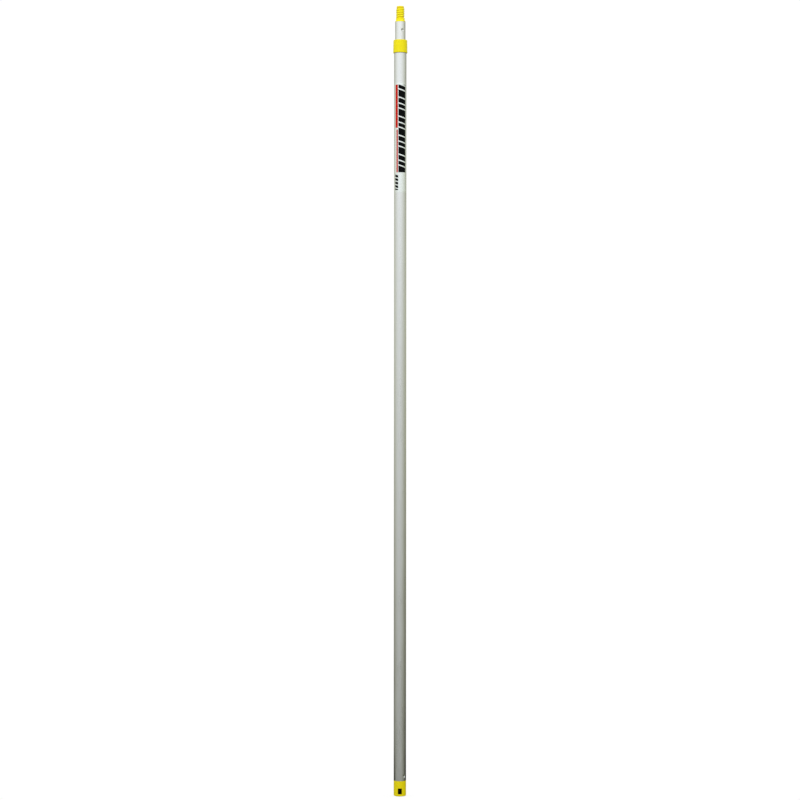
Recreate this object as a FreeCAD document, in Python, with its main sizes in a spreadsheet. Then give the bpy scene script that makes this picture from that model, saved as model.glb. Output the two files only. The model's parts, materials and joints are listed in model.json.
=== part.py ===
import FreeCAD, Part
import math
import os
import Sketcher

# Two-section telescoping extension pole with an internal twist lock, closed and unlocked.
# +Z runs up the pole, the origin is the centre of the butt cap's flat bottom face, the hang
# window faces -Y (the front) and the cam's journal is offset towards +X. Millimetres.

doc = FreeCAD.newDocument("extension_pole")
Vector = FreeCAD.Vector
os.makedirs("parts", exist_ok=True)

INCH = 25.4

# ---------------------------------------------------------------- driving dimensions
# alias, value, note
DIMENSIONS = [
    # overall and tubes
    ("pole_length", 1829.0, "closed length, butt face to tip"),
    ("outer_rad", INCH * 9 / 8 / 2, "outer tube, 1-1/8 in outside diameter"),
    ("outer_wall", 1.25, "outer tube wall"),
    ("outer_end", 1741.0, "top of the outer tube, inside the collar"),
    ("swage_rad", 14.0, "outer tube's reduced end, where the collar is pressed on"),
    ("inner_rad", INCH * 15 / 16 / 2, "inner tube, 15/16 in outside diameter"),
    ("inner_wall", 1.2, "inner tube wall"),
    ("inner_start", 112.0, "bottom of the inner tube when closed"),
    ("inner_end", 1792.7, "top of the inner tube when closed"),
    ("edge_break", 0.3, "deburred tube ends"),
    # staked dimples
    ("dent_rad", 6.0, "ball end of the staking punch"),
    ("dent_depth", 1.3, "how far the punch goes in"),
    ("cap_dent_height", 46.6, "dimples over the butt cap's plug"),
    ("tip_dent_height", 1772.4, "dimples over the tip's plug"),
    ("cam_dent_height", 128.0, "dimples over the cam plug"),
    ("stake_groove", 9.2, "width of the groove each plug has for the dimples"),
    ("stake_room", 0.12, "room between a dimple and its groove"),
    # plugs
    ("plug_gap", 0.045, "static gap between a plug and its tube"),
    ("plug_lead", 1.2, "chamfer on the end of the tip's plug and the cam plug"),
    # butt cap
    ("cap_height", 35.5, "part of the butt cap that shows"),
    ("cap_plug", 30.0, "part of the butt cap inside the tube"),
    ("cap_lead", 1.0, "chamfer on the end of the cap's plug"),
    ("cap_core", 10.0, "radius of the cap's hollow"),
    ("cap_floor", 3.5, "floor thickness"),
    ("cap_round", 3.2, "rounded bottom edge"),
    ("window_wide", 9.3, "hang window width"),
    ("window_low", 5.0, "hang window, bottom edge"),
    ("window_high", 18.5, "hang window, top edge"),
    ("window_corner", 0.9, "cut across the window's corners"),
    ("web_thick", 1.6, "rib across the hollow"),
    ("web_front", 4.5, "how far the rib stands in front of the axis"),
    ("web_top", 23.0, "top of the rib"),
    ("web_sink", 1.0, "how far the rib runs into the floor and wall"),
    # collar
    ("collar_low", 1720.6, "bottom of the collar"),
    ("collar_high", 1750.7, "top of the collar"),
    ("collar_rad", 16.4, "rim of the collar"),
    ("barrel_rad", 16.25, "barrel of the collar"),
    ("barrel_taper", 0.1, "how much the barrel narrows to its top"),
    ("shoulder_rad", 15.95, "stepped-in shoulder"),
    ("shoulder_low", 1740.6, "bottom of the shoulder"),
    ("shoulder_slope", 0.5, "height of the slope into the shoulder"),
    ("rim_height", 4.4, "height of the bottom rim"),
    ("rim_slope", 0.6, "height of the slope above the rim"),
    ("collar_round", 3.4, "rounded shoulder"),
    ("collar_foot", 1.2, "rounded bottom edge"),
    ("collar_grip", 14.03, "collar bore over the swaged tube end"),
    ("grip_break", 0.35, "chamfer at the bottom of that bore"),
    ("collar_mouth", 12.06, "collar bore around the inner tube"),
    ("seat_gap", 0.05, "gap between the upper sleeve's flange and the collar"),
    # guide sleeves
    ("guide_bore", 11.99, "bearing bore around the inner tube"),
    ("guide_rad", 12.96, "outside of the sleeves, in the outer tube"),
    ("guide_break", 0.4, "radial size of the sleeves' end tapers"),
    ("upper_low", 1663.0, "bottom of the upper guide sleeve"),
    ("upper_taper", 2.0, "height of the upper sleeve's outside taper"),
    ("upper_flare", 0.8, "height of the upper sleeve's bore taper"),
    ("flange_rad", 13.9, "upper sleeve's flange"),
    ("flange_thick", 1.5, "flange and lip thickness"),
    ("lower_high", 172.0, "top of the lower guide sleeve"),
    ("lower_taper", 1.2, "height of the lower sleeve's outside tapers"),
    ("lip_bore", 10.78, "lower sleeve's lip, around the cam plug"),
    ("turn_gap", 0.1, "end play where the pole turns"),
    ("slit_wide", 2.5, "slit in the lower sleeve"),
    ("slit_over", 2.0, "how far the slit cutter passes the sleeve's ends"),
    # threaded tip, 3/4-5 thread
    ("thread_major", INCH * 3 / 4 / 2, "crest radius"),
    ("thread_minor", 8.3, "root radius"),
    ("thread_pitch", INCH / 5, "5 threads per inch"),
    ("thread_crest", 2.9, "crest width"),
    ("thread_base", 4.4, "width at the root"),
    ("thread_sink", 0.5, "how far the ridge runs into the core"),
    ("thread_low", 1802.3, "middle of the thread where it starts, at the top of the neck"),
    ("thread_rise", 22.8, "axial run of the thread"),
    ("tip_plug", 35.0, "part of the tip inside the inner tube"),
    ("tip_core", 5.4, "radius of the tip's hollow"),
    ("tip_roof", 6.5, "solid end above the hollow"),
    ("tip_break", 1.1, "chamfer on the end"),
    ("skirt_edge", 0.7, "straight edge of the tip's shoulder"),
    ("skirt_cone", 3.4, "height of the shoulder cone"),
    ("skirt_neck", 10.1, "radius of the neck above the cone"),
    ("neck_top", 1801.3, "where the neck drops to the thread root"),
    ("neck_slope", 1.0, "height of that drop"),
    # cam plug
    ("cam_offset", 1.4, "eccentricity of the journal"),
    ("journal_rad", 7.5, "journal radius"),
    ("journal_low", 93.3, "bottom of the journal"),
    ("cam_flange_rad", 11.85, "flange under the inner tube"),
    ("cam_flange_thick", 3.0, "flange thickness"),
    ("cam_plug_long", 32.0, "plug length in the inner tube"),
    ("cam_core", 5.6, "radius of the cam plug's hollow"),
    ("cam_floor", 4.0, "floor of the hollow, above the bottom of the inner tube"),
    ("cam_sink", 0.5, "how far the journal and lug run into the flange"),
    ("lug_half", 1.6, "half width of the stop lug"),
    ("lug_reach", 10.3, "outer end of the lug, from the journal's centre"),
    ("lug_low", 96.0, "bottom of the lug"),
    ("pilot_rad", 1.5, "pilot hole for the screw"),
    ("pilot_over", 0.5, "pilot hole's depth past the screw's end"),
    # cam ring
    ("ring_bore", 7.6, "cam ring bore"),
    ("ring_rad", 12.2, "cam ring outside"),
    ("ring_low", 93.4, "bottom of the cam ring"),
    ("ring_high", 107.3, "top of the cam ring"),
    ("gap_left", 13.8, "ring gap, degrees anticlockwise of the lug"),
    ("gap_right", 47.8, "ring gap, degrees clockwise of the lug"),
    ("gap_reach", 20.0, "how far the gap cutter reaches"),
    # washer and screw
    ("washer_rad", 9.2, "washer outside"),
    ("washer_bore", 1.75, "washer hole"),
    ("washer_thick", 1.0, "washer thickness"),
    ("shank_rad", 1.47, "screw shank"),
    ("shank_top", 106.0, "end of the screw"),
    ("point_long", 2.0, "length of the shank's tapered end"),
    ("point_inset", 1.0, "how much the shank narrows there"),
    ("head_rad", 3.9, "screw head radius"),
    ("head_high", 2.6, "screw head height"),
    ("face_inset", 1.1, "head's flat face, in from the head radius"),
    ("bevel_inset", 0.3, "corner between the head's two bevels, in from the radius"),
    ("bevel_low", 0.5, "height of that corner above the face"),
    ("bevel_high", 1.3, "where the bevels end, above the face"),
    ("recess_long", 4.4, "cross recess, across"),
    ("recess_wide", 1.0, "cross recess, slot width"),
    ("recess_deep", 1.5, "cross recess depth"),
    # label
    ("label_low", 1396.0, "bottom of the label"),
    ("label_high", 1651.0, "top of the label"),
    ("label_gap", 0.02, "adhesive"),
    ("label_thick", 0.15, "film"),
    ("label_angle", 156.0, "wrap angle in degrees"),
]


class Size:
    """A number together with the spreadsheet expression it comes from."""

    def __init__(self, value, text):
        self.value, self.text = value, text

    def _join(self, sign, other, work_out):
        if not isinstance(other, Size):
            other = Size(float(other), repr(float(other)))
        text = "(%s %s %s)" % (self.text, sign, other.text)
        return Size(work_out(self.value, other.value), text)

    def __add__(self, other):
        return self._join("+", other, lambda x, y: x + y)

    def __sub__(self, other):
        return self._join("-", other, lambda x, y: x - y)

    def __mul__(self, other):
        return self._join("*", other, lambda x, y: x * y)

    def __truediv__(self, other):
        return self._join("/", other, lambda x, y: x / y)

    def __neg__(self):
        return Size(-self.value, "(0 - %s)" % self.text)


class Dimensions:
    """Holds every driving dimension as a Size, under its alias."""


ZERO = Size(0.0, "0")
dim = Dimensions()
sheet = doc.addObject("Spreadsheet::Sheet", "Dims")
for row, (alias, number, note) in enumerate(DIMENSIONS, start=1):
    sheet.set("A%d" % row, alias.replace("_", " "))
    sheet.set("B%d" % row, str(number))
    sheet.setAlias("B%d" % row, alias)
    sheet.set("C%d" % row, note)
    setattr(dim, alias, Size(float(number), "Dims." + alias))
doc.recompute()

# ---------------------------------------------------------------- sizes pieces share
outer_bore = dim.outer_rad - dim.outer_wall
inner_bore = dim.inner_rad - dim.inner_wall
cap_plug_rad = outer_bore - dim.plug_gap
# the tip and the cam plug both fit the inner tube
inner_plug_rad = inner_bore - dim.plug_gap
flange_top = dim.outer_end + dim.flange_thick
cam_flange_top = dim.inner_start - dim.flange_thick - dim.turn_gap
cam_flange_low = cam_flange_top - dim.cam_flange_thick
washer_low = dim.journal_low - dim.washer_thick


# ---------------------------------------------------------------- binding and sketching
def bind(obj, prop, size):
    """Sets a property and ties it to the sheet."""
    setattr(obj, prop, size.value)
    obj.setExpression(prop, size.text)


def place(obj, rotation=None, **sizes):
    """Moves an object to the given x, y and z sizes and ties those to the sheet."""
    base = Vector(*[sizes.get(axis, ZERO).value for axis in "xyz"])
    obj.Placement = FreeCAD.Placement(base, rotation or FreeCAD.Rotation())
    for axis, size in sizes.items():
        obj.setExpression("Placement.Base." + axis, size.text)


def new_body(label):
    body = doc.addObject("PartDesign::Body", label)
    body.Label = label
    return body


def new_sketch(body, name, role, offset=None):
    """A sketch on one of the body's origin planes, moved along the normal by offset."""
    sketch = body.newObject("Sketcher::SketchObject", name)
    plane = [f for f in body.Origin.OriginFeatures if f.Role == role][0]
    sketch.AttachmentSupport = [(plane, "")]
    sketch.MapMode = "FlatFace"
    if offset is not None:
        sketch.setExpression("AttachmentOffset.Base.z", offset.text)
    return sketch


def pin_point(sketch, geo, pos, x, y):
    """Places one sketch point with two constraints from the origin."""
    for kind, axis, size in (("DistanceX", -2, x), ("DistanceY", -1, y)):
        if size.text == ZERO.text:
            sketch.addConstraint(Sketcher.Constraint("PointOnObject", geo, pos, axis))
        else:
            index = sketch.addConstraint(
                Sketcher.Constraint(kind, -1, 1, geo, pos, size.value)
            )
            sketch.setExpression("Constraints[%d]" % index, size.text)


def polygon(sketch, points):
    """A closed polygon, every corner placed from the sheet."""
    first = sketch.GeometryCount
    count = len(points)
    corners = [Vector(x.value, y.value, 0) for x, y in points]
    for i in range(count):
        side = Part.LineSegment(corners[i], corners[(i + 1) % count])
        sketch.addGeometry(side, False)
    for i in range(count):
        following = first + (i + 1) % count
        sketch.addConstraint(Sketcher.Constraint("Coincident", first + i, 2, following, 1))
    for i, (x, y) in enumerate(points):
        pin_point(sketch, first + i, 1, x, y)


def rectangle(sketch, left, right, low, high):
    polygon(sketch, [(left, low), (right, low), (right, high), (left, high)])


def circle(sketch, x, y, radius):
    shape = Part.Circle(Vector(x.value, y.value, 0), Vector(0, 0, 1), radius.value)
    geo = sketch.addGeometry(shape, False)
    pin_point(sketch, geo, 3, x, y)
    index = sketch.addConstraint(Sketcher.Constraint("Radius", geo, radius.value))
    sketch.setExpression("Constraints[%d]" % index, radius.text)


# ---------------------------------------------------------------- features
def revolved(label, points, role="XZ_Plane", suffix="turned", angle=None):
    """A body turned about Z from a profile of (radius, height) corners.

    With an angle, the turn is spread evenly to both sides of the sketch.
    """
    body = new_body(label)
    sketch = new_sketch(body, label + "_profile", role)
    polygon(sketch, points)
    turn = body.newObject("PartDesign::Revolution", "%s_%s" % (label, suffix))
    turn.Profile = sketch
    turn.ReferenceAxis = (sketch, ["V_Axis"])
    if angle is None:
        turn.Angle = 360
    else:
        turn.Midplane = True
        bind(turn, "Angle", angle)
    doc.recompute()
    return body


def pad(body, sketch, name, length, midplane=False):
    feature = body.newObject("PartDesign::Pad", name)
    feature.Profile = sketch
    bind(feature, "Length", length)
    feature.Midplane = midplane
    doc.recompute()


def pocket(body, sketch, name, length, reverse=False):
    """Cuts against the sketch's normal, or along it when reversed."""
    before = body.Shape.Volume
    feature = body.newObject("PartDesign::Pocket", name)
    feature.Profile = sketch
    bind(feature, "Length", length)
    feature.Reversed = reverse
    doc.recompute()
    if not body.Shape.Volume < before - 1e-3:
        raise RuntimeError("%s cut nothing" % name)


def ring_edges(body, radius, height):
    """Names of the body's circular edges of this radius at this height."""
    names = []
    for i, edge in enumerate(body.Shape.Edges, start=1):
        curve = edge.Curve
        if (
            isinstance(curve, Part.Circle)
            and abs(curve.Radius - radius.value) < 1e-3
            and abs(curve.Center.z - height.value) < 1e-3
        ):
            names.append("Edge%d" % i)
    if not names:
        raise RuntimeError("no edge of radius %.3f at %.3f" % (radius.value, height.value))
    return names


def dress_edges(body, kind, prop, name, edges, size):
    """Adds a Fillet or Chamfer, whose size is held in prop, to the named edges."""
    base = body.Tip
    feature = body.newObject("PartDesign::" + kind, name)
    feature.Base = (base, edges)
    bind(feature, prop, size)
    doc.recompute()


def round_edges(body, name, edges, size):
    dress_edges(body, "Fillet", "Radius", name, edges, size)


def chamfer_edges(body, name, edges, size):
    dress_edges(body, "Chamfer", "Size", name, edges, size)


def stake_groove(bore, height):
    """Profile corners, going up, of a plug's groove behind dimples at this height."""
    plug_rad = bore - dim.plug_gap
    groove_rad = bore - dim.dent_depth - dim.stake_room
    low = height - dim.stake_groove / 2
    high = height + dim.stake_groove / 2
    return [(plug_rad, low), (groove_rad, low), (groove_rad, high), (plug_rad, high)]


# ---------------------------------------------------------------- tubes with staked dimples
def punch_ball(name, ball_rad, tube_rad, height, turn):
    """A ball standing outside the tube in the direction that turn gives +X."""
    heading = turn.multVec(Vector(1, 0, 0))
    reach = tube_rad + dim.dent_rad - dim.dent_depth
    sphere = doc.addObject("Part::Sphere", name)
    bind(sphere, "Radius", ball_rad)
    # the ball's seam faces outwards, clear of the cut
    place(
        sphere,
        turn,
        x=Size(heading.x * reach.value, "%.12f * %s" % (heading.x, reach.text)),
        y=Size(heading.y * reach.value, "%.12f * %s" % (heading.y, reach.text)),
        z=height,
    )
    return sphere


def staked_tube(label, profile, radius, wall, dimples):
    """A turned tube with pairs of opposite dimples.

    Each dimple pair is (name, height, angle in degrees from +X).
    """
    blank = revolved(label + "_blank", profile)
    bosses, dents = [], []
    for name, height, angle in dimples:
        for side in (0, 1):
            stem = "%s_%s" % (label, name)
            turn = FreeCAD.Rotation(Vector(0, 0, 1), angle + 180.0 * side)
            bump = punch_ball(
                "%s_bump_%d" % (stem, side), dim.dent_rad + wall, radius, height, turn
            )
            dent = punch_ball("%s_dent_%d" % (stem, side), dim.dent_rad, radius, height, turn)
            # keeps only the part of the bump inside the middle of the wall
            core = doc.addObject("Part::Cylinder", "%s_core_%d" % (stem, side))
            bind(core, "Radius", radius - wall + wall / 2)
            bind(core, "Height", dim.dent_rad * 4)
            place(core, z=height - dim.dent_rad * 2)
            boss = doc.addObject("Part::Common", "%s_boss_%d" % (stem, side))
            boss.Base, boss.Tool = bump, core
            bosses.append(boss)
            dents.append(dent)
    raised = doc.addObject("Part::MultiFuse", label + "_raised")
    raised.Shapes = [blank] + bosses
    raised.Refine = True
    balls = doc.addObject("Part::Compound", label + "_balls")
    balls.Links = dents
    tube = doc.addObject("Part::Cut", label)
    tube.Label = label
    tube.Base, tube.Tool = raised, balls
    tube.Refine = True
    doc.recompute()
    return tube


def make_outer_tube():
    profile = [
        (outer_bore + dim.edge_break, dim.cap_height),
        (dim.outer_rad, dim.cap_height),
        (dim.outer_rad, dim.collar_low),
        (dim.swage_rad, dim.collar_low + dim.edge_break),
        (dim.swage_rad, dim.outer_end - dim.edge_break),
        (dim.swage_rad - dim.edge_break, dim.outer_end),
        (outer_bore, dim.outer_end),
        (outer_bore, dim.cap_height + dim.edge_break),
    ]
    dimples = [("cap", dim.cap_dent_height, -47.0)]
    return staked_tube("outer_tube", profile, dim.outer_rad, dim.outer_wall, dimples)


def make_inner_tube():
    profile = [
        (inner_bore, dim.inner_start),
        (dim.inner_rad - dim.edge_break, dim.inner_start),
        (dim.inner_rad, dim.inner_start + dim.edge_break),
        (dim.inner_rad, dim.inner_end),
        (inner_bore, dim.inner_end),
    ]
    dimples = [("tip", dim.tip_dent_height, -66.0), ("cam", dim.cam_dent_height, 0.0)]
    return staked_tube("inner_tube", profile, dim.inner_rad, dim.inner_wall, dimples)


# ---------------------------------------------------------------- butt cap
def make_butt_cap():
    cap_top = dim.cap_height + dim.cap_plug
    cap = revolved(
        "butt_cap",
        [
            (ZERO, ZERO),
            (dim.outer_rad, ZERO),
            (dim.outer_rad, dim.cap_height),
            (cap_plug_rad, dim.cap_height),
            *stake_groove(outer_bore, dim.cap_dent_height),
            (cap_plug_rad, cap_top - dim.cap_lead),
            (cap_plug_rad - dim.cap_lead, cap_top),
            (dim.cap_core, cap_top),
            (dim.cap_core, dim.cap_floor),
            (ZERO, dim.cap_floor),
        ],
    )
    round_edges(cap, "butt_cap_round", ring_edges(cap, dim.outer_rad, ZERO), dim.cap_round)

    window = new_sketch(cap, "butt_cap_window_outline", "XZ_Plane")
    half, corner = dim.window_wide / 2, dim.window_corner
    low, high = dim.window_low, dim.window_high
    polygon(
        window,
        [
            (-half, low + corner),
            (-half + corner, low),
            (half - corner, low),
            (half, low + corner),
            (half, high - corner),
            (half - corner, high),
            (-half + corner, high),
            (-half, high - corner),
        ],
    )
    # the window opens the front wall only
    pocket(cap, window, "butt_cap_window", dim.outer_rad * 2, reverse=True)

    # a rib in the YZ plane, from in front of the axis to the back wall
    web = new_sketch(cap, "butt_cap_web_outline", "YZ_Plane")
    rectangle(
        web,
        left=-dim.web_front,
        right=dim.cap_core + dim.web_sink,
        low=dim.cap_floor - dim.web_sink,
        high=dim.web_top,
    )
    pad(cap, web, "butt_cap_web", dim.web_thick, midplane=True)
    return cap


# ---------------------------------------------------------------- collar
def make_collar():
    rim_top = dim.collar_low + dim.rim_height
    seat = flange_top + dim.seat_gap
    collar = revolved(
        "collar",
        [
            (dim.collar_grip + dim.grip_break, dim.collar_low),
            (dim.collar_rad, dim.collar_low),
            (dim.collar_rad, rim_top),
            (dim.barrel_rad, rim_top + dim.rim_slope),
            (dim.barrel_rad - dim.barrel_taper, dim.shoulder_low),
            (dim.shoulder_rad, dim.shoulder_low + dim.shoulder_slope),
            (dim.shoulder_rad, dim.collar_high),
            (dim.collar_mouth, dim.collar_high),
            (dim.collar_mouth, seat),
            (dim.collar_grip, seat),
            (dim.collar_grip, dim.collar_low + dim.grip_break),
        ],
    )
    top_edges = ring_edges(collar, dim.shoulder_rad, dim.collar_high)
    round_edges(collar, "collar_dome", top_edges, dim.collar_round)
    foot_edges = ring_edges(collar, dim.collar_rad, dim.collar_low)
    round_edges(collar, "collar_foot", foot_edges, dim.collar_foot)
    return collar


# ---------------------------------------------------------------- guide sleeves
def make_upper_guide_sleeve():
    return revolved(
        "upper_guide_sleeve",
        [
            (dim.guide_bore + dim.guide_break, dim.upper_low),
            (dim.guide_rad - dim.guide_break, dim.upper_low),
            (dim.guide_rad, dim.upper_low + dim.upper_taper),
            (dim.guide_rad, dim.outer_end),
            (dim.flange_rad, dim.outer_end),
            (dim.flange_rad, flange_top),
            (dim.guide_bore, flange_top),
            (dim.guide_bore, dim.upper_low + dim.upper_flare),
        ],
    )


def make_lower_guide_sleeve():
    # the lip sits midway in the gap between the cam flange and the inner tube
    lip_low = dim.inner_start - dim.flange_thick - dim.turn_gap / 2
    lip_high = dim.inner_start - dim.turn_gap / 2
    sleeve = revolved(
        "lower_guide_sleeve",
        [
            (dim.lip_bore, lip_low),
            (dim.guide_rad - dim.guide_break, lip_low),
            (dim.guide_rad, lip_low + dim.lower_taper),
            (dim.guide_rad, dim.lower_high - dim.lower_taper),
            (dim.guide_rad - dim.guide_break, dim.lower_high),
            (dim.guide_bore, dim.lower_high),
            (dim.guide_bore, lip_high),
            (dim.lip_bore, lip_high),
        ],
    )
    slit = new_sketch(sleeve, "lower_guide_sleeve_slit_outline", "XZ_Plane")
    rectangle(
        slit,
        left=-(dim.slit_wide / 2),
        right=dim.slit_wide / 2,
        low=lip_low - dim.slit_over,
        high=dim.lower_high + dim.slit_over,
    )
    # split along the back so the moulding opens over the tube
    pocket(sleeve, slit, "lower_guide_sleeve_slit", dim.outer_rad * 2)
    return sleeve


# ---------------------------------------------------------------- threaded tip
def add_thread(tip):
    """A right-handed ridge wound around the tip's core."""
    ridge = new_sketch(tip, "threaded_tip_ridge", "XZ_Plane")
    root = dim.thread_minor - dim.thread_sink
    polygon(
        ridge,
        [
            (root, dim.thread_low - dim.thread_base / 2),
            (dim.thread_major, dim.thread_low - dim.thread_crest / 2),
            (dim.thread_major, dim.thread_low + dim.thread_crest / 2),
            (root, dim.thread_low + dim.thread_base / 2),
        ],
    )
    thread = tip.newObject("PartDesign::AdditiveHelix", "threaded_tip_thread")
    thread.Profile = ridge
    thread.ReferenceAxis = (ridge, ["V_Axis"])
    # mode 0 takes pitch, height and cone angle
    thread.Mode = 0
    bind(thread, "Pitch", dim.thread_pitch)
    bind(thread, "Height", dim.thread_rise)
    thread.Angle = 0
    thread.LeftHanded = False
    thread.Reversed = False
    doc.recompute()


def make_threaded_tip():
    plug_low = dim.inner_end - dim.tip_plug
    cone_low = dim.inner_end + dim.skirt_edge
    roof_low = dim.pole_length - dim.tip_roof
    tip = revolved(
        "threaded_tip",
        [
            (dim.tip_core, plug_low),
            (inner_plug_rad - dim.plug_lead, plug_low),
            (inner_plug_rad, plug_low + dim.plug_lead),
            *stake_groove(inner_bore, dim.tip_dent_height),
            (inner_plug_rad, dim.inner_end),
            (dim.inner_rad, dim.inner_end),
            (dim.inner_rad, cone_low),
            (dim.skirt_neck, cone_low + dim.skirt_cone),
            (dim.skirt_neck, dim.neck_top),
            (dim.thread_minor, dim.neck_top + dim.neck_slope),
            (dim.thread_minor, dim.pole_length - dim.tip_break),
            (dim.thread_minor - dim.tip_break, dim.pole_length),
            (ZERO, dim.pole_length),
            (ZERO, roof_low),
            (dim.tip_core, roof_low),
        ],
    )
    add_thread(tip)
    return tip


# ---------------------------------------------------------------- cam plug
def make_cam_plug():
    """The plug in the inner tube, with an eccentric journal and a stop lug below it."""
    plug_top = dim.inner_start + dim.cam_plug_long
    core_low = dim.inner_start + dim.cam_floor
    plug = revolved(
        "cam_plug",
        [
            (ZERO, cam_flange_low),
            (dim.cam_flange_rad, cam_flange_low),
            (dim.cam_flange_rad, cam_flange_top),
            (inner_plug_rad, cam_flange_top),
            *stake_groove(inner_bore, dim.cam_dent_height),
            (inner_plug_rad, plug_top - dim.plug_lead),
            (inner_plug_rad - dim.plug_lead, plug_top),
            (dim.cam_core, plug_top),
            (dim.cam_core, core_low),
            (ZERO, core_low),
        ],
    )
    journal = new_sketch(plug, "cam_plug_journal_outline", "XY_Plane", dim.journal_low)
    circle(journal, dim.cam_offset, ZERO, dim.journal_rad)
    journal_long = cam_flange_low - dim.journal_low + dim.cam_sink
    pad(plug, journal, "cam_plug_journal", journal_long)

    lug = new_sketch(plug, "cam_plug_lug_outline", "XY_Plane", dim.lug_low)
    rectangle(
        lug,
        left=dim.cam_offset,
        right=dim.cam_offset + dim.lug_reach,
        low=-dim.lug_half,
        high=dim.lug_half,
    )
    pad(plug, lug, "cam_plug_lug", cam_flange_low - dim.lug_low + dim.cam_sink)

    pilot = new_sketch(plug, "cam_plug_pilot_outline", "XY_Plane", dim.journal_low)
    circle(pilot, dim.cam_offset, ZERO, dim.pilot_rad)
    pilot_deep = dim.shank_top - dim.journal_low + dim.pilot_over
    pocket(plug, pilot, "cam_plug_pilot", pilot_deep, reverse=True)
    return plug


# ---------------------------------------------------------------- cam ring
def gap_corner(angle, sign):
    """Outer corner of the gap cutter, on a ray from the journal's centre."""
    radians = math.radians(angle.value) * sign
    reach = dim.gap_reach.value
    minus = "" if sign > 0 else "0 - "
    ray = (dim.gap_reach.text, angle.text)
    return (
        Size(
            dim.cam_offset.value + reach * math.cos(radians),
            "(Dims.cam_offset + %s * cos(%s * 1 deg))" % ray,
        ),
        Size(reach * math.sin(radians), "(" + minus + "%s * sin(%s * 1 deg))" % ray),
    )


def make_cam_ring():
    """A ring whose bore follows the journal, open on the side of the lug."""
    body = new_body("cam_ring")
    height = dim.ring_high - dim.ring_low
    outline = new_sketch(body, "cam_ring_outline", "XY_Plane", dim.ring_low)
    circle(outline, ZERO, ZERO, dim.ring_rad)
    circle(outline, dim.cam_offset, ZERO, dim.ring_bore)
    pad(body, outline, "cam_ring_blank", height)

    opening = new_sketch(body, "cam_ring_opening_outline", "XY_Plane", dim.ring_low)
    right_corner = gap_corner(dim.gap_right, -1)
    left_corner = gap_corner(dim.gap_left, 1)
    polygon(opening, [(dim.cam_offset, ZERO), right_corner, left_corner])
    pocket(body, opening, "cam_ring_opening", height, reverse=True)

    rims = ring_edges(body, dim.ring_rad, dim.ring_low)
    rims += ring_edges(body, dim.ring_rad, dim.ring_high)
    chamfer_edges(body, "cam_ring_edges", rims, dim.edge_break * 2)
    return body


# ---------------------------------------------------------------- washer and screw
def make_cam_washer():
    body = new_body("cam_washer")
    disc = new_sketch(body, "cam_washer_outline", "XY_Plane", washer_low)
    circle(disc, dim.cam_offset, ZERO, dim.washer_rad)
    circle(disc, dim.cam_offset, ZERO, dim.washer_bore)
    pad(body, disc, "cam_washer_blank", dim.washer_thick)
    return body


def make_cam_screw():
    """Head down under the washer, shank up into the journal."""
    head_low = washer_low - dim.head_high
    screw = revolved(
        "cam_screw",
        [
            (ZERO, head_low),
            (dim.head_rad - dim.face_inset, head_low),
            (dim.head_rad - dim.bevel_inset, head_low + dim.bevel_low),
            (dim.head_rad, head_low + dim.bevel_high),
            (dim.head_rad, washer_low),
            (dim.shank_rad, washer_low),
            (dim.shank_rad, dim.shank_top - dim.point_long),
            (dim.shank_rad - dim.point_inset, dim.shank_top),
            (ZERO, dim.shank_top),
        ],
    )
    place(screw, x=dim.cam_offset)

    recess = new_sketch(screw, "cam_screw_recess_outline", "XY_Plane", head_low)
    near, far = dim.recess_wide / 2, dim.recess_long / 2
    polygon(
        recess,
        [
            (-near, -far), (near, -far), (near, -near),
            (far, -near), (far, near), (near, near),
            (near, far), (-near, far), (-near, near),
            (-far, near), (-far, -near), (-near, -near),
        ],
    )
    pocket(screw, recess, "cam_screw_recess", dim.recess_deep, reverse=True)
    return screw


# ---------------------------------------------------------------- label film
def make_label_film():
    """A film wrapped around the front of the outer tube."""
    film_in = dim.outer_rad + dim.label_gap
    film_out = film_in + dim.label_thick
    profile = [
        (-film_in, dim.label_low),
        (-film_in, dim.label_high),
        (-film_out, dim.label_high),
        (-film_out, dim.label_low),
    ]
    return revolved("label_film", profile, "YZ_Plane", "wrap", dim.label_angle)


# ---------------------------------------------------------------- build, check and write
pieces = [
    make_outer_tube(),
    make_inner_tube(),
    make_butt_cap(),
    make_collar(),
    make_upper_guide_sleeve(),
    make_lower_guide_sleeve(),
    make_threaded_tip(),
    make_cam_plug(),
    make_cam_ring(),
    make_cam_washer(),
    make_cam_screw(),
    make_label_film(),
]

doc.recompute()
for obj in doc.Objects:
    if "Invalid" in obj.State or "Error" in obj.State:
        raise RuntimeError("%s: %s" % (obj.Name, obj.State))

for piece in pieces:
    shape = piece.Shape
    if shape.isNull() or not shape.isValid():
        raise RuntimeError("%s is not a valid shape" % piece.Label)
    if len(shape.Solids) != 1:
        raise RuntimeError("%s has %d solids" % (piece.Label, len(shape.Solids)))
    shape.exportStep("parts/%s.step" % piece.Label)
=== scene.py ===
import json
import math

import bpy
import bmesh
import numpy as np
from mathutils import Matrix, Vector


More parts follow.
